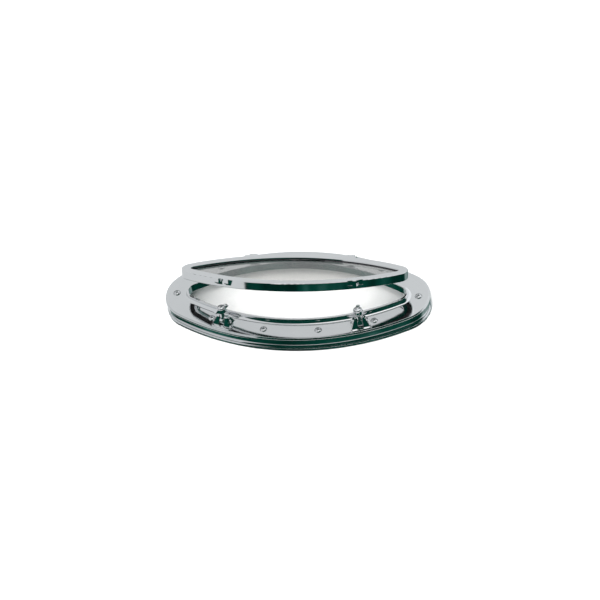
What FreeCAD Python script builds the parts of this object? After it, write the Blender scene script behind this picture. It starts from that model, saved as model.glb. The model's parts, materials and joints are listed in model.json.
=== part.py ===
"""Oval opening deck hatch in polished stainless steel, held open on its back hinges.

Millimetres. X runs along the oval, -Y is the front with the two swing-bolt dogs, +Y is the
back with the two hinges, and +Z is up, away from the deck. The origin is the middle of the
footprint, on the deck. Rings are described by their inset from the flange's outer edge.
"""
import FreeCAD
import Part

import math
import os

from FreeCAD import Vector

# Oval outline of the flange: two end arcs tangent to two long side arcs
HALF_LENGTH = 200.0
HALF_WIDTH = 90.0
END_RADIUS = 50.0
SIDE_RADIUS = (HALF_LENGTH**2 - 2 * HALF_LENGTH * END_RADIUS + HALF_WIDTH**2) / (
    2 * (HALF_WIDTH - END_RADIUS)
)
END_CENTRE_X = HALF_LENGTH - END_RADIUS
SIDE_CENTRE_Y = SIDE_RADIUS - HALF_WIDTH
END_ARC_HALF_ANGLE = math.degrees(math.atan2(SIDE_CENTRE_Y, END_CENTRE_X))

# Heights above the deck
DECK_GASKET_TOP = 2.0
FOOT_TOP = 5.0
BAND_BOTTOM = 12.4
BASE_RING_TOP = 20.5
FLANGE_BOTTOM = BASE_RING_TOP + 1.0
FLANGE_STEP = FLANGE_BOTTOM + 2.5
FLANGE_TOP = FLANGE_BOTTOM + 4.5
SPIGOT_BOTTOM = BASE_RING_TOP - 0.5
LIP_TOP = FLANGE_TOP + 7.0
LID_BOTTOM = LIP_TOP - 1.6
SEAL_GROOVE_TOP = LIP_TOP + 4.5
GLASS_BOTTOM = LIP_TOP + 2.5
GLASS_TOP = GLASS_BOTTOM + 5.7
LID_LIP_BOTTOM = GLASS_TOP + 0.3
LID_TOP = LID_LIP_BOTTOM + 2.6

# Insets from the flange's outer edge
DECK_GASKET_OUTER = 1.0
DECK_GASKET_INNER = 12.0
GASKET_OUTER = 1.5
GASKET_INNER = 11.0
BASE_RING_INNER = 13.0
HOLLOW_INSET = 4.1
BAND_INSET = 0.6
BAND_ROUND = 0.9
FLANGE_STEP_INSET = 2.0
LIP_OUTER = 33.0
OPENING = 36.5
LIP_FOOT_RADIUS = 5.0
LID_OUTER = 30.0
SEAL_GROOVE_OUTER = 31.6
SEAL_GROOVE_INNER = 38.3
REBATE = 40.0
GLASS_EDGE = 41.0
LID_INNER = 44.0
EDGE_ROUND = 0.8
FLANGE_ROUND = 0.5

# Fastener places, as half spacings
FLANGE_SCREW_PLACES = [(41.0, 70.0), (122.0, 49.5), (182.5, 0.0)]
DECK_BOLT_PLACES = [(65.0, 75.5), (145.0, 50.0), (192.0, 0.0)]
BOSS_RADIUS = 6.0
BOSS_BOTTOM = BASE_RING_TOP - 13.0
DECK_BOLT_HOLE_RADIUS = 2.1
DECK_BOLT_HOLE_DEPTH = 14.0
DECK_GASKET_HOLE_RADIUS = 3.0
SCREW_HEAD_RADIUS = 5.0
SCREW_SHANK_RADIUS = 2.4
SCREW_TIP = BASE_RING_TOP - 10.0
SCREW_SINK = 0.35
SCREW_DOME = 1.9
SCREW_SLOT = 1.1
SCREW_CLEARANCE = 0.12
SCREW_THREAD_FIT = 0.1

# Swing-bolt dogs at the front, M8; nut and cap heights are above the pivot
DOG_ANGLE = 17.7
DOG_INSET = 15.5
DOG_PIVOT_HEIGHT = FLANGE_TOP + 6.8
DOG_LEAN_CLOSED = 33.0
DOG_EYE_RADIUS = 6.2
DOG_EYE_WIDTH = 8.0
DOG_STEM_RADIUS = 4.0
DOG_PIN_RADIUS = 2.9
DOG_PIN_HALF_LENGTH = 12.2
WASHER_RADIUS = 6.4
WASHER_THICKNESS = 1.2
NUT_BOTTOM = 20.1
NUT_HEIGHT = 6.6
NUT_BOTTOM_RADIUS = 7.6
NUT_TOP_RADIUS = 6.4
NUT_CUP_RADIUS = 5.3
NUT_CUP_DEPTH = 2.0
WING_REACH = 12.0
WING_HALF_THICKNESS = 2.6
WING_HORN = 0.9
NUT_TURN = {"left": 64.0, "right": 78.0}
CAP_BOTTOM = 25.5
CAP_TOP = 28.0
CAP_RADIUS = 4.3
SPIGOT_RADIUS = 1.8
SPIGOT_LENGTH = 1.6
BRACKET_HALF_WIDTH = 15.5
BRACKET_THICKNESS = 1.8
DOG_HALF_GAP = 4.3
DOG_CROWN_HEIGHT = 7.6
DOG_CROWN_RADIUS = 3.6
DOG_EARS_THICKNESS = (2.6, 10.4)
DOG_EARS_HALF_BASE = 9.0
DOG_PLATE_OUTER = 4.0
DOG_PLATE_INNER = 26.5
SEAT_DISTANCE = 17.6
LUG_OUTER = 22.5
LUG_HALF_WIDTH = 11.4
LUG_SLOT_HALF_WIDTH = 4.8
LUG_SLOT_END = 26.0

# Hinges at the back
HINGE_X = 74.0
HINGE_Y = 66.5
HINGE_Z = FLANGE_TOP + 10.5
HINGE_EYE_RADIUS = 4.2
HINGE_EYE_WIDTH = 6.0
HINGE_HALF_GAP = 3.3
HINGE_EARS_THICKNESS = (2.4, 3.4)
HINGE_EARS_HALF_BASE = 7.0
HINGE_PLATE_HALF = 9.0
HINGE_PIN_RADIUS = 2.0
HINGE_PIN_HALF_LENGTH = 6.8
LEAF_HALF_WIDTH = 12.0
LEAF_PAD_THICKNESS = 3.0
LEAF_SCREW_OFFSET = 8.0
LEAF_SCREW_Z = LID_BOTTOM + 7.9
LEAF_SCREW_HEAD = 2.9
LEAF_SCREW_SHANK = 1.45
LEAF_SCREW_SINK = 0.1
LEAF_SCREW_HOLE = 1.55
LID_OPEN_ANGLE = 25.4

# Radial play: a pin in a bracket and a cap on its spigot, a pin in an eye, and the M8 thread
PIN_FIT = 0.05
EYE_FIT = 0.07
THREAD_FIT = 0.06

X_AXIS = Vector(1, 0, 0)
Y_AXIS = Vector(0, 1, 0)
Z_AXIS = Vector(0, 0, 1)
ORIGIN = Vector(0, 0, 0)
SIDES = {"left": -1, "right": 1}


def save(name, shape):
    """Write one node's solids to parts/."""
    if not shape.isValid():
        raise ValueError(name + " is not valid")
    shape.exportStep("parts/" + name + ".step")
    print(name, len(shape.Solids), "solid(s)", round(shape.Volume / 1000, 2), "cm3")


def section(start, *steps):
    """A face in the XZ plane from (x, z) points; a pair of points is an arc through the first."""
    edges = []
    here = Vector(start[0], 0, start[1])
    first = here
    for step in steps:
        is_arc = isinstance(step[0], tuple)
        end = step[1] if is_arc else step
        there = Vector(end[0], 0, end[1])
        if is_arc:
            middle = Vector(step[0][0], 0, step[0][1])
            edges.append(Part.Arc(here, middle, there).toShape())
        else:
            edges.append(Part.LineSegment(here, there).toShape())
        here = there
    if here.distanceToPoint(first) > 1e-6:
        edges.append(Part.LineSegment(here, first).toShape())
    return Part.Face(Part.Wire(edges))


def oval_ring(profile):
    """Run a profile, drawn as (-inset, z), round the oval as four tangent revolutions."""
    side_arc = 180 - 2 * END_ARC_HALF_ANGLE
    pieces = []
    for turn in (0, 180):
        end = profile.copy()
        end.translate(Vector(END_RADIUS, 0, 0))
        end.rotate(ORIGIN, Z_AXIS, -END_ARC_HALF_ANGLE)
        end = end.revolve(ORIGIN, Z_AXIS, 2 * END_ARC_HALF_ANGLE)
        end.translate(Vector(END_CENTRE_X, 0, 0))
        side = profile.copy()
        side.translate(Vector(SIDE_RADIUS, 0, 0))
        side.rotate(ORIGIN, Z_AXIS, END_ARC_HALF_ANGLE)
        side = side.revolve(ORIGIN, Z_AXIS, side_arc)
        side.translate(Vector(0, -SIDE_CENTRE_Y, 0))
        for piece in (end, side):
            piece.rotate(ORIGIN, Z_AXIS, turn)
            pieces.append(piece)
    return pieces[0].multiFuse(pieces[1:]).removeSplitter()


def oval_wire(inset, z):
    """The flange's outline moved inwards by inset, at height z."""
    edges = []
    for turn in (0, 180):
        end = Part.Circle(Vector(END_CENTRE_X, 0, z), Z_AXIS, END_RADIUS - inset)
        side = Part.Circle(Vector(0, -SIDE_CENTRE_Y, z), Z_AXIS, SIDE_RADIUS - inset)
        low = math.radians(-END_ARC_HALF_ANGLE)
        high = math.radians(END_ARC_HALF_ANGLE)
        for curve, begin, finish in ((end, low, high), (side, high, math.pi - high)):
            edge = Part.Arc(curve, begin, finish).toShape()
            edge.rotate(ORIGIN, Z_AXIS, turn)
            edges.append(edge)
    return Part.Wire(Part.__sortEdges__(edges))


def oval_plate(inset, bottom, top):
    """A solid plate with the oval outline at this inset."""
    return Part.Face(oval_wire(inset, bottom)).extrude(Vector(0, 0, top - bottom))


def cylinder(radius, height, base, axis=Z_AXIS):
    return Part.makeCylinder(radius, height, base, axis)


def box(low, high):
    size = [b - a for a, b in zip(low, high)]
    return Part.makeBox(size[0], size[1], size[2], Vector(*low))


def four_places(places):
    """Mirror half spacings in X and Y, without repeats on an axis."""
    found = []
    for x, y in places:
        for sx in (-1, 1):
            for sy in ((-1, 1) if y else (1,)):
                found.append((sx * x, sy * y))
    return found


def revolved(start, *steps):
    """A solid of revolution about Z from an (r, z) profile."""
    return section(start, *steps).revolve(ORIGIN, Z_AXIS, 360)


def screw(head_radius, shank_radius, length, dome, recess):
    """A raised countersunk screw, head rim at z = 0, shank down, with a cross recess."""
    cone = head_radius - shank_radius
    body = revolved(
        (0, -length),
        (shank_radius - 0.6, -length),
        (shank_radius, -length + 0.8),
        (shank_radius, -cone),
        (head_radius, -0.2),
        (head_radius, 0),
        ((head_radius * 0.72, dome * 0.66), (0, dome)),
    )
    half = recess / 2
    slot = box((-recess * 2, -half, dome - recess * 1.6), (recess * 2, half, dome + 1))
    crossed = slot.copy()
    crossed.rotate(ORIGIN, Z_AXIS, 90)
    return body.cut(slot.fuse(crossed))


def countersink(head_radius, shank_radius, depth, clearance):
    """The hole that such a screw sits in, open upwards from z = 0."""
    head = head_radius + clearance * 4
    shank = shank_radius + clearance
    cone = head_radius - shank_radius
    return revolved(
        (0, -depth),
        (shank, -depth),
        (shank, -cone - clearance),
        (head, -clearance),
        (head, 3),
        (0, 3),
    )


def moved(shape, x, y, z):
    copy = shape.copy()
    copy.translate(Vector(x, y, z))
    return copy


# ---------------------------------------------------------------- fixed rings


def make_deck_gasket():
    ring = oval_ring(
        section(
            (-DECK_GASKET_OUTER, 0),
            (-DECK_GASKET_OUTER, DECK_GASKET_TOP),
            (-DECK_GASKET_INNER, DECK_GASKET_TOP),
            (-DECK_GASKET_INNER, 0),
        )
    )
    for x, y in four_places(DECK_BOLT_PLACES):
        ring = ring.cut(cylinder(DECK_GASKET_HOLE_RADIUS, 4, Vector(x, y, -1)))
    return ring


def make_base_ring():
    """Coaming ring: foot lip, hollowed side, upright band on top, bosses for the flange screws."""
    half = BAND_ROUND * (1 - math.sqrt(0.5))
    ring = oval_ring(
        section(
            (0, DECK_GASKET_TOP),
            (0, FOOT_TOP - 0.6),
            ((-0.2, FOOT_TOP - 0.15), (-0.7, FOOT_TOP)),
            (-3.6, FOOT_TOP),
            ((-HOLLOW_INSET, (FOOT_TOP + BAND_BOTTOM) / 2), (-2.6, BAND_BOTTOM)),
            ((-BAND_INSET - 0.5, BAND_BOTTOM + 0.7), (-BAND_INSET, BAND_BOTTOM + 2.2)),
            (-BAND_INSET, BASE_RING_TOP - BAND_ROUND),
            (
                (-BAND_INSET - half, BASE_RING_TOP - half),
                (-BAND_INSET - BAND_ROUND, BASE_RING_TOP),
            ),
            (-BASE_RING_INNER, BASE_RING_TOP),
            (-BASE_RING_INNER, DECK_GASKET_TOP),
        )
    )
    for x, y in four_places(FLANGE_SCREW_PLACES):
        boss = cylinder(BOSS_RADIUS, FLANGE_BOTTOM - BOSS_BOTTOM, Vector(x, y, BOSS_BOTTOM))
        ring = ring.fuse(boss)
    for x, y in four_places(FLANGE_SCREW_PLACES):
        ring = ring.cut(cylinder(SCREW_SHANK_RADIUS + SCREW_THREAD_FIT, 20, Vector(x, y, SCREW_TIP - 1)))
    for x, y in four_places(DECK_BOLT_PLACES):
        hole = cylinder(DECK_BOLT_HOLE_RADIUS, DECK_BOLT_HOLE_DEPTH, Vector(x, y, DECK_GASKET_TOP))
        ring = ring.cut(hole)
    return ring.removeSplitter()


def make_frame_gasket():
    ring = oval_ring(
        section(
            (-GASKET_OUTER, BASE_RING_TOP),
            (-GASKET_OUTER, FLANGE_BOTTOM),
            (-GASKET_INNER, FLANGE_BOTTOM),
            (-GASKET_INNER, BASE_RING_TOP),
        )
    )
    for x, y in four_places(FLANGE_SCREW_PLACES):
        ring = ring.cut(cylinder(BOSS_RADIUS + 0.2, 3, Vector(x, y, BASE_RING_TOP - 1)))
    return ring


def make_main_frame():
    """Stepped flange, lip with a rounded foot round the opening, and the short wall below."""
    foot = LIP_OUTER - LIP_FOOT_RADIUS
    foot_middle = LIP_FOOT_RADIUS * (1 - math.sqrt(0.5))
    half = EDGE_ROUND * (1 - math.sqrt(0.5))
    rim = FLANGE_ROUND
    rim_half = rim * (1 - math.sqrt(0.5))
    step_top = FLANGE_STEP
    ring = oval_ring(
        section(
            (0, FLANGE_BOTTOM),
            (0, step_top - rim),
            ((-rim_half, step_top - rim_half), (-rim, step_top)),
            (-FLANGE_STEP_INSET, step_top),
            (-FLANGE_STEP_INSET, FLANGE_TOP - rim),
            (
                (-FLANGE_STEP_INSET - rim_half, FLANGE_TOP - rim_half),
                (-FLANGE_STEP_INSET - rim, FLANGE_TOP),
            ),
            (-foot, FLANGE_TOP),
            (
                (-LIP_OUTER + foot_middle, FLANGE_TOP + foot_middle),
                (-LIP_OUTER, FLANGE_TOP + LIP_FOOT_RADIUS),
            ),
            (-LIP_OUTER, LIP_TOP - EDGE_ROUND),
            ((-LIP_OUTER - half, LIP_TOP - half), (-LIP_OUTER - EDGE_ROUND, LIP_TOP)),
            (-OPENING + EDGE_ROUND, LIP_TOP),
            ((-OPENING + half, LIP_TOP - half), (-OPENING, LIP_TOP - EDGE_ROUND)),
            (-OPENING, SPIGOT_BOTTOM),
            (-LIP_OUTER, SPIGOT_BOTTOM),
            (-LIP_OUTER, FLANGE_BOTTOM),
        )
    )
    hole = countersink(SCREW_HEAD_RADIUS, SCREW_SHANK_RADIUS, 8, SCREW_CLEARANCE)
    for x, y in four_places(FLANGE_SCREW_PLACES):
        ring = ring.cut(moved(hole, x, y, FLANGE_TOP - SCREW_SINK))
    return ring


def make_flange_screws():
    length = FLANGE_TOP - SCREW_SINK - SCREW_TIP
    one = screw(SCREW_HEAD_RADIUS, SCREW_SHANK_RADIUS, length, SCREW_DOME, SCREW_SLOT)
    return Part.makeCompound(
        [moved(one, x, y, FLANGE_TOP - SCREW_SINK) for x, y in four_places(FLANGE_SCREW_PLACES)]
    )


# ------------------------------------------------------------------------ dogs
# Built in a frame whose X points outwards along the oval's side radius.

DOG_X = SIDE_RADIUS - DOG_INSET
DOG_PIVOT = Vector(DOG_X, 0, DOG_PIVOT_HEIGHT)


def place_dog(shape, side):
    """Turn a dog piece to its place at the front left (-1) or front right (1)."""
    copy = shape.copy()
    copy.rotate(ORIGIN, Z_AXIS, -90 + side * DOG_ANGLE)
    copy.translate(Vector(0, SIDE_CENTRE_Y, 0))
    return copy


def gusset(half_base, base_z, centre, radius, thickness, start_y):
    """An ear: straight sides from the base, tangent to a round top about the pin."""
    drop = centre.z - base_z
    reach = math.hypot(half_base, drop)
    lean = math.atan2(-drop, half_base) + math.acos(radius / reach)
    tangent_x = radius * math.cos(lean)
    tangent_z = centre.z + radius * math.sin(lean)
    outline = section(
        (centre.x - half_base, base_z),
        (centre.x + half_base, base_z),
        (centre.x + tangent_x, tangent_z),
        ((centre.x, centre.z + radius), (centre.x - tangent_x, tangent_z)),
    )
    ear = outline.extrude(Vector(0, thickness, 0))
    ear.translate(Vector(0, start_y, 0))
    return ear


def clevis(pivot, eye_radius, half_gap, crown, plate_x, plate_half_width, ears_at, half_base, bore):
    """Two splayed ears on a base plate, with a window under the eye.

    crown is how far the ears' round tops stand above the pin, and their radius. ears_at is each
    ear's thickness at its top and at its foot.
    """
    base_z = FLANGE_TOP
    plate_top = base_z + BRACKET_THICKNESS
    plate = box((plate_x[0], -plate_half_width, base_z), (plate_x[1], plate_half_width, plate_top))
    upright = [edge for edge in plate.Edges if abs(edge.tangentAt(0).z) > 0.9]
    plate = plate.makeFillet(3.0, upright)
    rim = [
        edge
        for edge in plate.Edges
        if min(vertex.Z for vertex in edge.Vertexes) > plate_top - 0.01
    ]
    plate = plate.makeFillet(0.6, rim)
    foot_z = base_z + 0.2
    crown_centre = pivot + Vector(0, 0, crown[0])
    top_z = crown_centre.z + crown[1]
    top_y = half_gap + ears_at[0]
    foot_y = half_gap + ears_at[1]
    ears = []
    for sign in (-1, 1):
        ear = gusset(half_base, foot_z, crown_centre, crown[1], ears_at[1], half_gap)
        splay = Part.makePolygon(
            [
                Vector(pivot.x - 30, foot_y, foot_z),
                Vector(pivot.x - 30, top_y, top_z),
                Vector(pivot.x - 30, foot_y + 5, top_z + 1),
                Vector(pivot.x - 30, foot_y + 5, foot_z),
                Vector(pivot.x - 30, foot_y, foot_z),
            ]
        )
        ear = ear.cut(Part.Face(splay).extrude(Vector(60, 0, 0)))
        if sign < 0:
            ear = ear.mirror(ORIGIN, Y_AXIS)
        ears.append(ear)
    body = plate.multiFuse(ears)
    window = box(
        (pivot.x - eye_radius - 1, -half_gap, base_z - 1),
        (pivot.x + eye_radius + 1, half_gap, plate_top + 1),
    )
    hole = cylinder(bore, 60, Vector(pivot.x, -30, pivot.z), Y_AXIS)
    return body.cut(window).cut(hole).removeSplitter()


def make_dog_bracket():
    return clevis(
        pivot=DOG_PIVOT,
        eye_radius=DOG_EYE_RADIUS,
        half_gap=DOG_HALF_GAP,
        crown=(DOG_CROWN_HEIGHT, DOG_CROWN_RADIUS),
        plate_x=(SIDE_RADIUS - DOG_PLATE_INNER, SIDE_RADIUS - DOG_PLATE_OUTER),
        plate_half_width=BRACKET_HALF_WIDTH,
        ears_at=DOG_EARS_THICKNESS,
        half_base=DOG_EARS_HALF_BASE,
        bore=DOG_PIN_RADIUS + PIN_FIT,
    )


def pin(radius, half_length, centre):
    """A plain pin along Y with rounded ends."""
    rod = cylinder(radius, 2 * half_length, centre - Vector(0, half_length, 0), Y_AXIS)
    ends = [edge for edge in rod.Edges if len(edge.Vertexes) == 1]
    return rod.makeFillet(radius * 0.45, ends)


def make_dog_bolt():
    """Eye bolt: round eye on the pin, plain stem, small spigot under the cap."""
    eye = cylinder(
        DOG_EYE_RADIUS,
        DOG_EYE_WIDTH,
        DOG_PIVOT - Vector(0, DOG_EYE_WIDTH / 2, 0),
        Y_AXIS,
    )
    rims = [edge for edge in eye.Edges if len(edge.Vertexes) == 1]
    eye = eye.makeFillet(1.0, rims)
    stem = cylinder(DOG_STEM_RADIUS, CAP_BOTTOM, DOG_PIVOT)
    spigot = cylinder(SPIGOT_RADIUS, CAP_BOTTOM + SPIGOT_LENGTH, DOG_PIVOT)
    bore = cylinder(DOG_PIN_RADIUS + EYE_FIT, 20, DOG_PIVOT - Vector(0, 10, 0), Y_AXIS)
    return eye.multiFuse([stem, spigot]).cut(bore).removeSplitter()


def make_dog_cap():
    """Domed stop on the bolt's end."""
    bore = SPIGOT_RADIUS + PIN_FIT
    bore_end = CAP_BOTTOM + SPIGOT_LENGTH + 0.1
    cap = revolved(
        (bore, CAP_BOTTOM),
        (CAP_RADIUS - 0.4, CAP_BOTTOM),
        (CAP_RADIUS, CAP_BOTTOM + 0.4),
        (CAP_RADIUS, CAP_BOTTOM + 1.3),
        ((CAP_RADIUS * 0.78, CAP_TOP - 0.5), (CAP_RADIUS * 0.32, CAP_TOP)),
        (0, CAP_TOP),
        (0, bore_end),
        (bore, bore_end),
    )
    return moved(cap, DOG_PIVOT.x, DOG_PIVOT.y, DOG_PIVOT.z)


def make_dog_washer():
    bottom = NUT_BOTTOM - WASHER_THICKNESS
    ring = cylinder(WASHER_RADIUS, WASHER_THICKNESS, Vector(0, 0, bottom))
    rims = [edge for edge in ring.Edges if len(edge.Vertexes) == 1]
    ring = ring.makeFillet(0.35, rims)
    ring = ring.cut(cylinder(DOG_STEM_RADIUS + THREAD_FIT, 10, Vector(0, 0, bottom - 2)))
    return moved(ring, DOG_PIVOT.x, DOG_PIVOT.y, DOG_PIVOT.z)


def nut_wing():
    """One wing: it slopes from a small horn beside the cup down to a round tip."""
    top = NUT_BOTTOM + NUT_HEIGHT
    outline = section(
        (0, NUT_BOTTOM + 0.8),
        (NUT_BOTTOM_RADIUS, NUT_BOTTOM + 0.8),
        (WING_REACH - 2.0, NUT_BOTTOM + 2.3),
        ((WING_REACH, NUT_BOTTOM + 3.7), (WING_REACH - 1.2, NUT_BOTTOM + 4.9)),
        (NUT_TOP_RADIUS + 1.6, top + WING_HORN * 0.6),
        (NUT_TOP_RADIUS + 0.6, top + WING_HORN),
        (NUT_TOP_RADIUS - 0.4, top - 0.2),
        (0, top - 0.2),
    )
    wing = outline.extrude(Vector(0, 2 * WING_HALF_THICKNESS, 0))
    wing.translate(Vector(0, -WING_HALF_THICKNESS, 0))
    wing.rotate(ORIGIN, Z_AXIS, 90)
    rims = []
    for edge in wing.Edges:
        low = min(vertex.Y for vertex in edge.Vertexes)
        width = max(vertex.X for vertex in edge.Vertexes) - min(vertex.X for vertex in edge.Vertexes)
        if low > NUT_BOTTOM_RADIUS - 0.1 and width < 0.1:
            rims.append(edge)
    return wing.makeFillet(1.0, rims)


def make_dog_nut(turn):
    """Wing nut, turned on its bolt: tapered hub with a cup for the cap, and two sloping wings."""
    top = NUT_BOTTOM + NUT_HEIGHT
    hub = revolved(
        (0, NUT_BOTTOM),
        (NUT_BOTTOM_RADIUS - 0.4, NUT_BOTTOM),
        ((NUT_BOTTOM_RADIUS - 0.05, NUT_BOTTOM + 0.3), (NUT_BOTTOM_RADIUS, NUT_BOTTOM + 0.8)),
        (NUT_BOTTOM_RADIUS - 0.1, NUT_BOTTOM + 2.2),
        (NUT_TOP_RADIUS, top - 0.5),
        ((NUT_TOP_RADIUS - 0.2, top - 0.12), (NUT_TOP_RADIUS - 0.5, top)),
        (0, top),
    )
    wing = nut_wing()
    body = hub.multiFuse([wing, wing.mirror(ORIGIN, Y_AXIS)])
    cup = cylinder(NUT_CUP_RADIUS, NUT_CUP_DEPTH + 1, Vector(0, 0, top - NUT_CUP_DEPTH))
    bore = cylinder(DOG_STEM_RADIUS + THREAD_FIT, 30, Vector(0, 0, NUT_BOTTOM - 5))
    body = body.cut(cup).cut(bore).removeSplitter()
    body.rotate(ORIGIN, Z_AXIS, turn)
    return moved(body, DOG_PIVOT.x, DOG_PIVOT.y, DOG_PIVOT.z)


# -------------------------------------------------------------- lid, made shut


def place_lid(shape):
    """Turn a piece of the shut lid to the open position in which the hatch rests."""
    copy = shape.copy()
    copy.rotate(Vector(0, HINGE_Y, HINGE_Z), X_AXIS, -LID_OPEN_ANGLE)
    return copy


def make_lug():
    """Forked lug: its seat is square to the leaning bolt, so it is highest at its outer end."""
    lean = math.radians(DOG_LEAN_CLOSED)
    seat_x = DOG_X - SEAT_DISTANCE * math.sin(lean)
    seat_z = DOG_PIVOT_HEIGHT + SEAT_DISTANCE * math.cos(lean)
    outer_x = SIDE_RADIUS - LUG_OUTER
    wall_x = SIDE_RADIUS - LID_OUTER
    crest_z = seat_z + (outer_x - seat_x) * math.tan(lean)
    root_x = seat_x - (seat_z - LID_TOP) / math.tan(lean)
    outline = section(
        (wall_x - 1.0, LID_BOTTOM + 4.0),
        (wall_x, LID_BOTTOM + 4.0),
        (outer_x - 1.5, LID_TOP - 4.6),
        ((outer_x - 0.4, LID_TOP - 4.0), (outer_x, LID_TOP - 2.8)),
        (outer_x, crest_z),
        (root_x, LID_TOP),
        (root_x, LID_TOP - 1.0),
        (wall_x - 1.0, LID_TOP - 1.0),
    )
    lug = outline.extrude(Vector(0, 2 * LUG_HALF_WIDTH, 0))
    lug.translate(Vector(0, -LUG_HALF_WIDTH, 0))
    crest = [
        edge
        for edge in lug.Edges
        if min(vertex.Z for vertex in edge.Vertexes) > crest_z - 0.01
    ]
    lug = lug.makeFillet(0.7, crest)
    slot_end = SIDE_RADIUS - LUG_SLOT_END
    slot = cylinder(LUG_SLOT_HALF_WIDTH, 40, Vector(slot_end, 0, LID_BOTTOM - 5))
    slot = slot.fuse(
        box(
            (slot_end, -LUG_SLOT_HALF_WIDTH, LID_BOTTOM - 5),
            (outer_x + 5, LUG_SLOT_HALF_WIDTH, LID_BOTTOM + 35),
        )
    )
    return lug.cut(slot)


def make_lid_frame():
    half = EDGE_ROUND * (1 - math.sqrt(0.5))
    ring = oval_ring(
        section(
            (-LID_OUTER, LID_BOTTOM + EDGE_ROUND),
            (-LID_OUTER, LID_TOP - EDGE_ROUND),
            ((-LID_OUTER - half, LID_TOP - half), (-LID_OUTER - EDGE_ROUND, LID_TOP)),
            (-LID_INNER + 0.5, LID_TOP),
            ((-LID_INNER + 0.15, LID_TOP - 0.15), (-LID_INNER, LID_TOP - 0.5)),
            (-LID_INNER, LID_LIP_BOTTOM),
            (-REBATE, LID_LIP_BOTTOM),
            (-REBATE, LID_BOTTOM),
            (-SEAL_GROOVE_INNER, LID_BOTTOM),
            (-SEAL_GROOVE_INNER, SEAL_GROOVE_TOP),
            (-SEAL_GROOVE_OUTER, SEAL_GROOVE_TOP),
            (-SEAL_GROOVE_OUTER, LID_BOTTOM),
            (-LID_OUTER - EDGE_ROUND, LID_BOTTOM),
            ((-LID_OUTER - half, LID_BOTTOM + half), (-LID_OUTER, LID_BOTTOM + EDGE_ROUND)),
        )
    )
    lug = make_lug()
    ring = ring.multiFuse([place_dog(lug, side) for side in SIDES.values()])
    for x in (-HINGE_X, HINGE_X):
        for offset in (-LEAF_SCREW_OFFSET, LEAF_SCREW_OFFSET):
            ring = ring.cut(leaf_screw_hole(x + offset))
    return ring.removeSplitter()


def make_lid_seal():
    return oval_ring(
        section(
            (-SEAL_GROOVE_OUTER - 0.2, LIP_TOP + 0.8),
            (-SEAL_GROOVE_OUTER - 0.2, SEAL_GROOVE_TOP),
            (-SEAL_GROOVE_INNER + 0.2, SEAL_GROOVE_TOP),
            (-SEAL_GROOVE_INNER + 0.2, LIP_TOP + 0.8),
            (
                (-(SEAL_GROOVE_OUTER + SEAL_GROOVE_INNER) / 2, LIP_TOP + 0.3),
                (-SEAL_GROOVE_OUTER - 0.2, LIP_TOP + 0.8),
            ),
        )
    )


def make_glass_pane():
    pane = oval_plate(GLASS_EDGE, GLASS_BOTTOM, GLASS_TOP)
    rims = [edge for edge in pane.Edges if abs(edge.Vertexes[0].Z - edge.Vertexes[-1].Z) < 0.01]
    return pane.makeChamfer(0.5, rims)


def make_glass_sealant():
    """Black sealant round the glass edge, under the lid's lip and as a fine bead beside it."""
    return oval_ring(
        section(
            (-REBATE, GLASS_BOTTOM),
            (-REBATE, LID_LIP_BOTTOM),
            (-LID_INNER, LID_LIP_BOTTOM),
            (-LID_INNER, LID_LIP_BOTTOM + 0.7),
            (-LID_INNER - 0.9, GLASS_TOP),
            (-GLASS_EDGE - 0.5, GLASS_TOP),
            (-GLASS_EDGE, GLASS_TOP - 0.5),
            (-GLASS_EDGE, GLASS_BOTTOM),
        )
    )


def make_glazing_bead():
    return oval_ring(
        section(
            (-REBATE - 0.1, LID_BOTTOM + 0.6),
            (-REBATE - 0.1, GLASS_BOTTOM),
            (-LID_INNER - 0.6, GLASS_BOTTOM),
            (-LID_INNER - 0.6, LID_BOTTOM + 1.8),
            (-LID_INNER + 0.6, LID_BOTTOM + 0.6),
        )
    )


# ---------------------------------------------------------------------- hinges


def lid_back_y(x):
    """Y of the lid's back wall at this X."""
    return math.sqrt((SIDE_RADIUS - LID_OUTER) ** 2 - x**2) - SIDE_CENTRE_Y


def leaf_screw_hole(x):
    """A small blind hole square into the lid's back wall."""
    start = Vector(x, lid_back_y(x) - 5.5, LEAF_SCREW_Z)
    return cylinder(LEAF_SCREW_HOLE, 12, start, Y_AXIS)


def leaf_back_y(x):
    """Y of the back face of a leaf's pad that is centred on this X."""
    corners = (lid_back_y(x - LEAF_HALF_WIDTH), lid_back_y(x + LEAF_HALF_WIDTH))
    return max(corners) + LEAF_PAD_THICKNESS


def make_hinge_leaf(side):
    """Pad on the lid's back wall, with an arm that ends in an eye on the hinge pin."""
    x = side * HINGE_X
    back = leaf_back_y(x)
    pad = box(
        (x - LEAF_HALF_WIDTH, 40, LID_BOTTOM + 2.9),
        (x + LEAF_HALF_WIDTH, back, LID_TOP - 1.2),
    )
    corners = [edge for edge in pad.Edges if abs(edge.tangentAt(0).y) > 0.9]
    pad = pad.makeFillet(2.5, corners)
    half = HINGE_EYE_WIDTH / 2
    arm = box((x - half, 40, HINGE_Z - 3.0), (x + half, HINGE_Y, HINGE_Z + 3.4))
    eye = cylinder(HINGE_EYE_RADIUS, HINGE_EYE_WIDTH, Vector(x - half, HINGE_Y, HINGE_Z), X_AXIS)
    body = pad.multiFuse([arm, eye])
    body = body.cut(oval_plate(LID_OUTER - 0.02, 0, 100))
    bore = cylinder(HINGE_PIN_RADIUS + EYE_FIT, 40, Vector(x - 20, HINGE_Y, HINGE_Z), X_AXIS)
    body = body.cut(bore)
    for offset in (-LEAF_SCREW_OFFSET, LEAF_SCREW_OFFSET):
        hole = countersink(LEAF_SCREW_HEAD, LEAF_SCREW_SHANK, 12, 0.08)
        hole.rotate(ORIGIN, X_AXIS, -90)
        body = body.cut(moved(hole, x + offset, back - LEAF_SCREW_SINK, LEAF_SCREW_Z))
    return body.removeSplitter()


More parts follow.
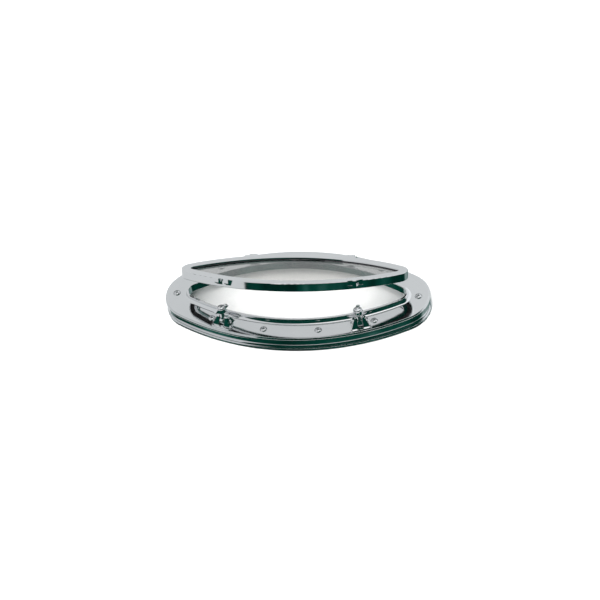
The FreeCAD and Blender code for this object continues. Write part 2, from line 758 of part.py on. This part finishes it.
def make_leaf_screws(side):
    found = []
    for offset in (-LEAF_SCREW_OFFSET, LEAF_SCREW_OFFSET):
        x = side * HINGE_X + offset
        head_y = leaf_back_y(side * HINGE_X) - LEAF_SCREW_SINK
        length = head_y - lid_back_y(x) + 5.0
        one = screw(LEAF_SCREW_HEAD, LEAF_SCREW_SHANK, length, 0.7, 0.6)
        one.rotate(ORIGIN, X_AXIS, -90)
        found.append(moved(one, x, head_y, LEAF_SCREW_Z))
    return found


def make_hinge_base(side):
    """Clevis on the back of the flange, its ears either side of the leaf's eye."""
    body = clevis(
        pivot=Vector(HINGE_Y, 0, HINGE_Z),
        eye_radius=HINGE_EYE_RADIUS,
        half_gap=HINGE_HALF_GAP,
        crown=(0, HINGE_EYE_RADIUS),
        plate_x=(HINGE_Y - HINGE_PLATE_HALF, HINGE_Y + HINGE_PLATE_HALF),
        plate_half_width=HINGE_PLATE_HALF,
        ears_at=HINGE_EARS_THICKNESS,
        half_base=HINGE_EARS_HALF_BASE,
        bore=HINGE_PIN_RADIUS + PIN_FIT,
    )
    body.rotate(ORIGIN, Z_AXIS, 90)
    body.translate(Vector(side * HINGE_X, 0, 0))
    return body


def make_hinge_pin(side):
    body = pin(HINGE_PIN_RADIUS, HINGE_PIN_HALF_LENGTH, Vector(HINGE_Y, 0, HINGE_Z))
    body.rotate(ORIGIN, Z_AXIS, 90)
    body.translate(Vector(side * HINGE_X, 0, 0))
    return body


def main():
    os.makedirs("parts", exist_ok=True)
    save("deck_gasket", make_deck_gasket())
    save("base_ring", make_base_ring())
    save("frame_gasket", make_frame_gasket())
    save("main_frame", make_main_frame())
    save("flange_screws", make_flange_screws())
    save("lid_frame", place_lid(make_lid_frame()))
    save("lid_seal", place_lid(make_lid_seal()))
    save("glass_pane", place_lid(make_glass_pane()))
    save("glass_sealant", place_lid(make_glass_sealant()))
    save("glazing_bead", place_lid(make_glazing_bead()))
    leaf_screws = []
    for name, side in SIDES.items():
        save("hinge_base_" + name, make_hinge_base(side))
        save("hinge_pin_" + name, make_hinge_pin(side))
        save("hinge_leaf_" + name, place_lid(make_hinge_leaf(side)))
        leaf_screws += [place_lid(one) for one in make_leaf_screws(side)]
        save("dog_bracket_" + name, place_dog(make_dog_bracket(), side))
        dog_pin = pin(DOG_PIN_RADIUS, DOG_PIN_HALF_LENGTH, DOG_PIVOT)
        save("dog_pin_" + name, place_dog(dog_pin, side))
        save("dog_bolt_" + name, place_dog(make_dog_bolt(), side))
        save("dog_washer_" + name, place_dog(make_dog_washer(), side))
        save("dog_nut_" + name, place_dog(make_dog_nut(NUT_TURN[name]), side))
        save("dog_cap_" + name, place_dog(make_dog_cap(), side))
    save("hinge_leaf_screws", Part.makeCompound(leaf_screws))


main()
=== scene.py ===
"""Looks of the oval deck hatch: mirror-polished steel, clear glass and black rubber.

Metres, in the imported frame: +X along the oval, -Y the front with the dogs, +Z up.
"""

import bmesh
import bpy
import json
import math

from mathutils import Matrix, Vector


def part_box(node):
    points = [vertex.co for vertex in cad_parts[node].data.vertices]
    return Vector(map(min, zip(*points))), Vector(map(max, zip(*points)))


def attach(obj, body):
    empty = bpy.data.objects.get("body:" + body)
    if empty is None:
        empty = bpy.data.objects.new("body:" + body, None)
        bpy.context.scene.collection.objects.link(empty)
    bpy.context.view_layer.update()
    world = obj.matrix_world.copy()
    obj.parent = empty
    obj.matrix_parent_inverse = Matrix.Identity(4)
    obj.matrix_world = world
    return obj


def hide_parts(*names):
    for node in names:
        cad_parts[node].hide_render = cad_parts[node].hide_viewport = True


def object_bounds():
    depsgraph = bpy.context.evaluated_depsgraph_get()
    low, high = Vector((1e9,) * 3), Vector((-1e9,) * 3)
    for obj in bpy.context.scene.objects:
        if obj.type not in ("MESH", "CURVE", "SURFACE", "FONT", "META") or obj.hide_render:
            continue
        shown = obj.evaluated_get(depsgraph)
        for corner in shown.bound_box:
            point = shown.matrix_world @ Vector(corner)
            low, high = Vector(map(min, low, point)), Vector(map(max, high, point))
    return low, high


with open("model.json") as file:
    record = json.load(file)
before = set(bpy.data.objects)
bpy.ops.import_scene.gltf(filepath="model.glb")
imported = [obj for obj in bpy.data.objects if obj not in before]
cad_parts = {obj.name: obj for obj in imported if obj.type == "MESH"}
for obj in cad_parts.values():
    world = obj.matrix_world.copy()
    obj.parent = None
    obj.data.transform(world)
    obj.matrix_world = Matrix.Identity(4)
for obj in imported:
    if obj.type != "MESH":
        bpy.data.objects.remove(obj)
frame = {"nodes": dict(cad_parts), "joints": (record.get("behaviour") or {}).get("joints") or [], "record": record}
CAD_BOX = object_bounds()

MM = 0.001

# Camera: a long lens, from the front, a little to the right and rolled; the frame and the
# aim from the flange's middle are in picture elements
CAMERA_AZIMUTH = 15.1
CAMERA_ELEVATION = 46.7
CAMERA_ROLL = 10.3
CAMERA_LENS = 200.0
CAMERA_SENSOR = 36.0
PIXELS_PER_METRE = 671.4
FRAME_WIDTH = 600.0
AIM_RIGHT = 2.5
AIM_DOWN = 2.7

# Floor: a wide sheet of paper just under the hatch
FLOOR_SIZE = 30.0
FLOOR_GAP = 0.2 * MM

# Lamps: name, place, size, power
LAMPS = [
    ("overhead", (0.0, 0.2, 2.6), 2.4, 36.0),
    ("front", (0.0, -1.1, 2.3), 1.2, 30.0),
    ("low_front", (0.2, -2.4, 1.8), 1.6, 60.0),
]

# Steel: how much of its gloss follows the wide clouds, and its tone where they are dark
CLOUD_SHARE = 0.4
STEEL_SHADE = 0.93
SCRATCH_DEPTH = 0.02 * MM

# Rubber: its moulded grain, and how much lighter its bloom is
GRAIN_STRENGTH = 0.35
GRAIN_DEPTH = 0.1 * MM
BLOOM_LIGHT = 1.9

GLASS_IOR = 1.45

# Surroundings that the polished steel and the glass show, as linear colours
SKY = (1.25, 1.25, 1.25)
SILVER = (0.88, 0.905, 0.925)
PANEL_GREY = (0.665, 0.685, 0.695)
DEEP_GREEN = (0.001, 0.016, 0.012)
GREEN = (0.002, 0.050, 0.036)
TEAL = (0.05, 0.15, 0.13)
LOW_TEAL = (0.05, 0.12, 0.11)
LOW_GREY = (0.30, 0.38, 0.37)

# Where they give way to each other, by a direction's Y or Z, from first to last
SKY_FROM_Z = (0.86, 0.95)
BACK_FROM_Y = (-0.05, 0.22)
SILVER_FROM_Z = (-0.12, 0.06)

# Light panel: everything left of this bearing in degrees, above a foot that sinks to the back
PANEL_EDGE = -32.0
PANEL_EDGE_WIDTH = 0.02
PANEL_FOOT = 0.21
PANEL_FOOT_WIDTH = 0.04
PANEL_FOOT_SLOPE = 0.43

# Dog bolts: eye, and M8 thread between the eye and the cap; the rod starts inside the eye
BOLT_BORE = 2.97 * MM
BOLT_RADIUS = 4.0 * MM
EYE_HALF_WIDTH = 4.0 * MM
EYE_ROUND = 0.9 * MM
EYE_STEPS_ROUND = 64
ROD_START = 0.75
NECK_LENGTH = 2.0 * MM
PITCH = 1.25 * MM
THREAD_DEPTH = 0.55 * MM
THREAD_STEPS_ROUND = 40
THREAD_ROWS_PER_TURN = 8
SHARP_ANGLE = 50.0


# ------------------------------------------------------------------ node helpers


def node(tree, kind, **settings):
    """Add a shader node; keys with a socket name set that socket, others are attributes."""
    made = tree.nodes.new(kind)
    for key, value in settings.items():
        if key in made.inputs:
            made.inputs[key].default_value = value
        else:
            setattr(made, key, value)
    return made


def link(tree, source, target):
    tree.links.new(source, target)


def remap(tree, value, source, target=(0.0, 1.0), kind="LINEAR"):
    """Carry a value from one range to another, held at both ends."""
    made = node(tree, "ShaderNodeMapRange", interpolation_type=kind)
    ends = zip(("From Min", "From Max", "To Min", "To Max"), (*source, *target))
    for socket, end in ends:
        made.inputs[socket].default_value = end
    link(tree, value, made.inputs["Value"])
    return made.outputs["Result"]


def calculate(tree, operation, *terms):
    """A math node; each term is a socket or a number."""
    made = node(tree, "ShaderNodeMath", operation=operation)
    for socket, term in zip(made.inputs, terms):
        if isinstance(term, float):
            socket.default_value = term
        else:
            link(tree, term, socket)
    return made.outputs[0]


def bumped(tree, shader, height, strength, distance):
    """Let a height raise the surface by this distance."""
    bump = node(tree, "ShaderNodeBump", Strength=strength, Distance=distance)
    link(tree, height, bump.inputs["Height"])
    link(tree, bump.outputs["Normal"], shader.inputs["Normal"])


def ramp(tree, factor, stops):
    """A colour ramp from (place, colour) stops."""
    made = tree.nodes.new("ShaderNodeValToRGB")
    elements = made.color_ramp.elements
    while len(elements) < len(stops):
        elements.new(0.5)
    for element, (place, colour) in zip(elements, stops):
        element.position = place
        element.color = (*colour, 1)
    link(tree, factor, made.inputs["Fac"])
    return made.outputs["Color"]


def grey(value):
    return (value, value, value)


def new_material(name):
    material = bpy.data.materials.new(name)
    material.use_nodes = True
    tree = material.node_tree
    shader = tree.nodes["Principled BSDF"]
    return material, tree, shader


def noise(tree, vector, scale, detail=4.0, roughness=0.55, stretch=None):
    """Noise over object coordinates in metres, stretched where asked."""
    if stretch:
        mapping = node(tree, "ShaderNodeMapping")
        mapping.inputs["Scale"].default_value = stretch
        link(tree, vector, mapping.inputs["Vector"])
        vector = mapping.outputs["Vector"]
    made = node(tree, "ShaderNodeTexNoise", Scale=scale, Detail=detail, Roughness=roughness)
    link(tree, vector, made.inputs["Vector"])
    return made.outputs["Fac"]


def object_vector(tree):
    return tree.nodes.new("ShaderNodeTexCoord").outputs["Object"]


# --------------------------------------------------------------------- materials


def polished_steel(name, tone, low, high, scratch):
    """Mirror-polished stainless steel: soft smudges in the gloss, very fine polishing lines."""
    material, tree, shader = new_material(name)
    place = object_vector(tree)
    smudge = noise(tree, place, scale=38.0, detail=6.0, roughness=0.6)
    cloud = noise(tree, place, scale=9.0, detail=3.0, roughness=0.5)
    lines = noise(
        tree, place, scale=5200.0, detail=2.0, roughness=0.6, stretch=(0.2, 1.0, 1.0)
    )
    mixed = node(tree, "ShaderNodeMix", data_type="FLOAT")
    mixed.inputs[0].default_value = CLOUD_SHARE
    link(tree, smudge, mixed.inputs[2])
    link(tree, cloud, mixed.inputs[3])
    rough = remap(tree, mixed.outputs[0], source=(0.35, 0.7), target=(low, high))
    link(tree, rough, shader.inputs["Roughness"])
    darker = tuple(channel * STEEL_SHADE for channel in tone)
    link(tree, ramp(tree, cloud, [(0.3, darker), (0.65, tone)]), shader.inputs["Base Color"])
    bumped(tree, shader, lines, scratch, SCRATCH_DEPTH)
    shader.inputs["Metallic"].default_value = 1.0
    return material


def rubber(name, tone, grain):
    """Matt black moulded rubber with a fine grain and a dusty bloom."""
    material, tree, shader = new_material(name)
    place = object_vector(tree)
    fine = noise(tree, place, scale=grain, detail=5.0, roughness=0.6)
    bloom = noise(tree, place, scale=60.0, detail=4.0, roughness=0.6)
    light = tuple(channel * BLOOM_LIGHT for channel in tone)
    link(tree, ramp(tree, bloom, [(0.35, tone), (0.75, light)]), shader.inputs["Base Color"])
    rough = remap(tree, fine, source=(0.0, 1.0), target=(0.5, 0.75))
    link(tree, rough, shader.inputs["Roughness"])
    bumped(tree, shader, fine, GRAIN_STRENGTH, GRAIN_DEPTH)
    shader.inputs["Specular IOR Level"].default_value = 0.3
    return material


def clear_glass():
    """Toughened glass, warm grey, faint wipe marks; shadows and reflections see it clear."""
    material, tree, shader = new_material("clear_glass")
    place = object_vector(tree)
    wipe = noise(tree, place, scale=26.0, detail=4.0, roughness=0.6, stretch=(0.4, 1.6, 1.0))
    tint = ramp(tree, wipe, [(0.35, (0.66, 0.65, 0.63)), (0.7, (0.72, 0.71, 0.685))])
    link(tree, tint, shader.inputs["Base Color"])
    rough = remap(tree, wipe, source=(0.4, 0.75), target=(0.0, 0.05))
    link(tree, rough, shader.inputs["Roughness"])
    shader.inputs["Transmission Weight"].default_value = 1.0
    shader.inputs["IOR"].default_value = GLASS_IOR
    passed = tree.nodes.new("ShaderNodeBsdfTransparent")
    clearer = ramp(tree, wipe, [(0.35, grey(0.94)), (0.7, grey(0.97))])
    link(tree, clearer, passed.inputs["Color"])
    ray = tree.nodes.new("ShaderNodeLightPath")
    passing = ray.outputs["Is Transmission Ray"]
    reflected = calculate(tree, "SUBTRACT", ray.outputs["Is Glossy Ray"], passing)
    chosen = tree.nodes.new("ShaderNodeMixShader")
    either = calculate(tree, "MAXIMUM", ray.outputs["Is Shadow Ray"], reflected)
    link(tree, either, chosen.inputs["Fac"])
    link(tree, shader.outputs["BSDF"], chosen.inputs[1])
    link(tree, passed.outputs["BSDF"], chosen.inputs[2])
    link(tree, chosen.outputs["Shader"], tree.nodes["Material Output"].inputs["Surface"])
    return material


STEEL = polished_steel(
    "polished_steel", tone=(0.84, 0.85, 0.86), low=0.015, high=0.09, scratch=0.2
)
FASTENER = polished_steel(
    "fastener_steel", tone=(0.72, 0.73, 0.74), low=0.03, high=0.10, scratch=0.3
)
RUBBER = rubber("gasket_rubber", tone=(0.012, 0.012, 0.013), grain=2600.0)
SEALANT = rubber("black_sealant", tone=(0.006, 0.006, 0.007), grain=1400.0)
GLASS = clear_glass()
SLOT_MATERIALS = {
    "polished_steel": STEEL,
    "fastener_steel": FASTENER,
    "gasket_rubber": RUBBER,
    "black_sealant": SEALANT,
    "clear_glass": GLASS,
}


def dress_cad_nodes():
    """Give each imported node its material."""
    slots = {part["node"]: part["material_slot"] for part in frame["record"]["subparts"]}
    for name, piece in frame["nodes"].items():
        piece.data.materials.clear()
        piece.data.materials.append(SLOT_MATERIALS[slots[name]])


# --------------------------------------------------------------------- dog bolts


def lathe(bm, rings, steps, closed=False):
    """Skin rings of points, each a function of the angle, round an axis; returns the rows."""
    rows = []
    for ring in rings:
        rows.append([bm.verts.new(ring(2 * math.pi * step / steps)) for step in range(steps)])
    pairs = list(zip(rows, rows[1:] + rows[:1])) if closed else list(zip(rows, rows[1:]))
    for lower, upper in pairs:
        for step in range(steps):
            after = (step + 1) % steps
            bm.faces.new((lower[step], lower[after], upper[after], upper[step]))
    return rows


def dog_joint(side):
    """The pivot and the axis about which this side's bolt swings."""
    wanted = "dog_" + side + "_swing"
    joint = next(joint for joint in frame["joints"] if joint["name"] == wanted)
    return Vector(joint["pos_m"]), Vector(joint["axis"]).normalized()


def make_threaded_bolt(side):
    """The eye bolt again, with a real M8 thread from above its eye to the cap."""
    pivot, eye_pin = dog_joint(side)
    up = Vector((0, 0, 1))
    outward = eye_pin.cross(up)
    name = "dog_bolt_" + side
    eye_radius = pivot.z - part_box(name)[0].z
    rim = eye_radius - EYE_ROUND
    side_face = EYE_HALF_WIDTH - EYE_ROUND
    corner = EYE_ROUND * math.sqrt(0.5)
    thread_start = eye_radius + NECK_LENGTH
    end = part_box("dog_cap_" + side)[0].z - pivot.z

    def eye_ring(radius, offset):
        def place(angle):
            spoke = outward * math.cos(angle) + up * math.sin(angle)
            return pivot + eye_pin * offset + spoke * radius

        return place

    def rod_ring(height):
        def place(angle):
            turn = (height / PITCH - angle / (2 * math.pi)) % 1.0
            groove = 0.5 - 0.5 * math.cos(2 * math.pi * turn)
            run_out = min(1.0, (height - thread_start) / PITCH, (end - height) / PITCH)
            radius = BOLT_RADIUS - THREAD_DEPTH * groove * max(0.0, run_out)
            spoke = outward * math.cos(angle) + eye_pin * math.sin(angle)
            return pivot + up * height + spoke * radius

        return place

    half = [
        (BOLT_BORE, EYE_HALF_WIDTH),
        (rim, EYE_HALF_WIDTH),
        (rim + corner, side_face + corner),
        (eye_radius, side_face),
    ]
    profile = half + [(radius, -offset) for radius, offset in reversed(half)]
    rows = int((end - thread_start) / PITCH * THREAD_ROWS_PER_TURN)
    heights = [eye_radius * ROD_START]
    heights += [thread_start + PITCH / THREAD_ROWS_PER_TURN * row for row in range(rows + 1)]
    heights.append(end)

    bm = bmesh.new()
    lathe(bm, [eye_ring(*place) for place in profile], EYE_STEPS_ROUND, closed=True)
    rod = lathe(bm, [rod_ring(height) for height in heights], THREAD_STEPS_ROUND)
    bm.faces.new(list(reversed(rod[0])))
    bm.faces.new(rod[-1])
    bmesh.ops.recalc_face_normals(bm, faces=bm.faces)
    mesh = bpy.data.meshes.new("threaded_bolt_" + side)
    bm.to_mesh(mesh)
    bm.free()
    mesh.shade_smooth()
    mesh.set_sharp_from_angle(angle=math.radians(SHARP_ANGLE))
    mesh.materials.append(STEEL)
    piece = bpy.data.objects.new("threaded_bolt_" + side, mesh)
    bpy.context.scene.collection.objects.link(piece)
    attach(piece, side + "_bolt")
    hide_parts(name)


# ------------------------------------------------------------------------- stage


def make_floor():
    """Pale matt paper, which the polished steel doesn't show."""
    material, tree, shader = new_material("floor_paper")
    place = object_vector(tree)
    fibres = noise(tree, place, scale=300.0, detail=5.0, roughness=0.6)
    tint = ramp(tree, fibres, [(0.3, grey(0.93)), (0.7, grey(0.97))])
    link(tree, tint, shader.inputs["Base Color"])
    shader.inputs["Roughness"].default_value = 0.9
    shader.inputs["Specular IOR Level"].default_value = 0.1
    height = CAD_BOX[0].z - FLOOR_GAP
    bpy.ops.mesh.primitive_plane_add(size=FLOOR_SIZE, location=(0, 0, height))
    floor = bpy.context.object
    floor.name = "floor"
    floor.data.materials.append(material)
    floor.visible_glossy = False


def make_world():
    """Studio: dark green in front, silver over grey behind, sky above, a panel at the left."""
    world = bpy.data.worlds.new("studio")
    bpy.context.scene.world = world
    world.use_nodes = True
    tree = world.node_tree
    background = tree.nodes["Background"]
    direction = tree.nodes.new("ShaderNodeTexCoord").outputs["Generated"]
    split = tree.nodes.new("ShaderNodeSeparateXYZ")
    link(tree, direction, split.inputs["Vector"])

    def smooth(value, ends):
        return remap(tree, value, ends, kind="SMOOTHSTEP")

    def mix(factor, first, second):
        made = node(tree, "ShaderNodeMix", data_type="RGBA")
        link(tree, factor, made.inputs[0])
        for socket, value in ((made.inputs[6], first), (made.inputs[7], second)):
            if isinstance(value, tuple):
                socket.default_value = (*value, 1)
            else:
                link(tree, value, socket)
        return made.outputs[2]

    streak = noise(
        tree, direction, scale=3.5, detail=4.0, roughness=0.6, stretch=(1.0, 1.0, 4.0)
    )
    green = ramp(tree, streak, [(0.42, DEEP_GREEN), (0.56, GREEN), (0.74, TEAL)])
    low = ramp(tree, streak, [(0.40, LOW_TEAL), (0.62, LOW_GREY)])
    x, y, z = (split.outputs[axis] for axis in "XYZ")
    back = mix(smooth(z, SILVER_FROM_Z), low, SILVER)
    colour = mix(smooth(y, BACK_FROM_Y), green, back)
    colour = mix(smooth(z, SKY_FROM_Z), colour, SKY)
    bearing = calculate(tree, "ARCTAN2", x, calculate(tree, "MULTIPLY", y, -1.0))
    above = calculate(tree, "MULTIPLY_ADD", bearing, -PANEL_FOOT_SLOPE, z)
    edge = math.radians(PANEL_EDGE)
    across = smooth(bearing, (edge, edge - PANEL_EDGE_WIDTH))
    upwards = smooth(above, (PANEL_FOOT - PANEL_FOOT_WIDTH, PANEL_FOOT))
    colour = mix(calculate(tree, "MULTIPLY", across, upwards), colour, PANEL_GREY)
    link(tree, colour, background.inputs["Color"])
    background.inputs["Strength"].default_value = 1.0


def make_camera():
    """Look at the flange's middle along the named direction, at the named scale."""
    azimuth = math.radians(CAMERA_AZIMUTH)
    elevation = math.radians(CAMERA_ELEVATION)
    roll = math.radians(CAMERA_ROLL)
    right = Vector((math.cos(azimuth), math.sin(azimuth), 0))
    towards = Vector(
        (
            math.sin(azimuth) * math.cos(elevation),
            -math.cos(azimuth) * math.cos(elevation),
            math.sin(elevation),
        )
    )
    up = towards.cross(right)
    rolled_right = right * math.cos(roll) - up * math.sin(roll)
    rolled_up = right * math.sin(roll) + up * math.cos(roll)
    distance = FRAME_WIDTH * CAMERA_LENS / CAMERA_SENSOR / PIXELS_PER_METRE
    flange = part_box("main_frame")
    middle = Vector((0, 0, flange[0].z))
    aim = middle + (rolled_right * AIM_RIGHT - rolled_up * AIM_DOWN) / PIXELS_PER_METRE
    data = bpy.data.cameras.new("camera")
    data.lens = CAMERA_LENS
    data.sensor_width = CAMERA_SENSOR
    camera = bpy.data.objects.new("camera", data)
    bpy.context.scene.collection.objects.link(camera)
    turn = Matrix((rolled_right, rolled_up, towards)).transposed()
    camera.matrix_world = Matrix.Translation(aim + towards * distance) @ turn.to_4x4()
    bpy.context.scene.camera = camera


def make_lamps():
    """Wide soft lamps that light the paper but don't show in the polished steel."""
    for name, place, size, power in LAMPS:
        data = bpy.data.lights.new(name, "AREA")
        data.shape = "DISK"
        data.size = size
        data.energy = power
        lamp = bpy.data.objects.new(name, data)
        bpy.context.scene.collection.objects.link(lamp)
        lamp.location = place
        lamp.rotation_euler = (Vector(place) * -1).to_track_quat("-Z", "Y").to_euler()
        lamp.visible_glossy = False
        lamp.visible_camera = False


bpy.context.scene.view_settings.view_transform = "Standard"
dress_cad_nodes()
for side in ("left", "right"):
    make_threaded_bolt(side)
make_lamps()
make_floor()
make_world()
make_camera()
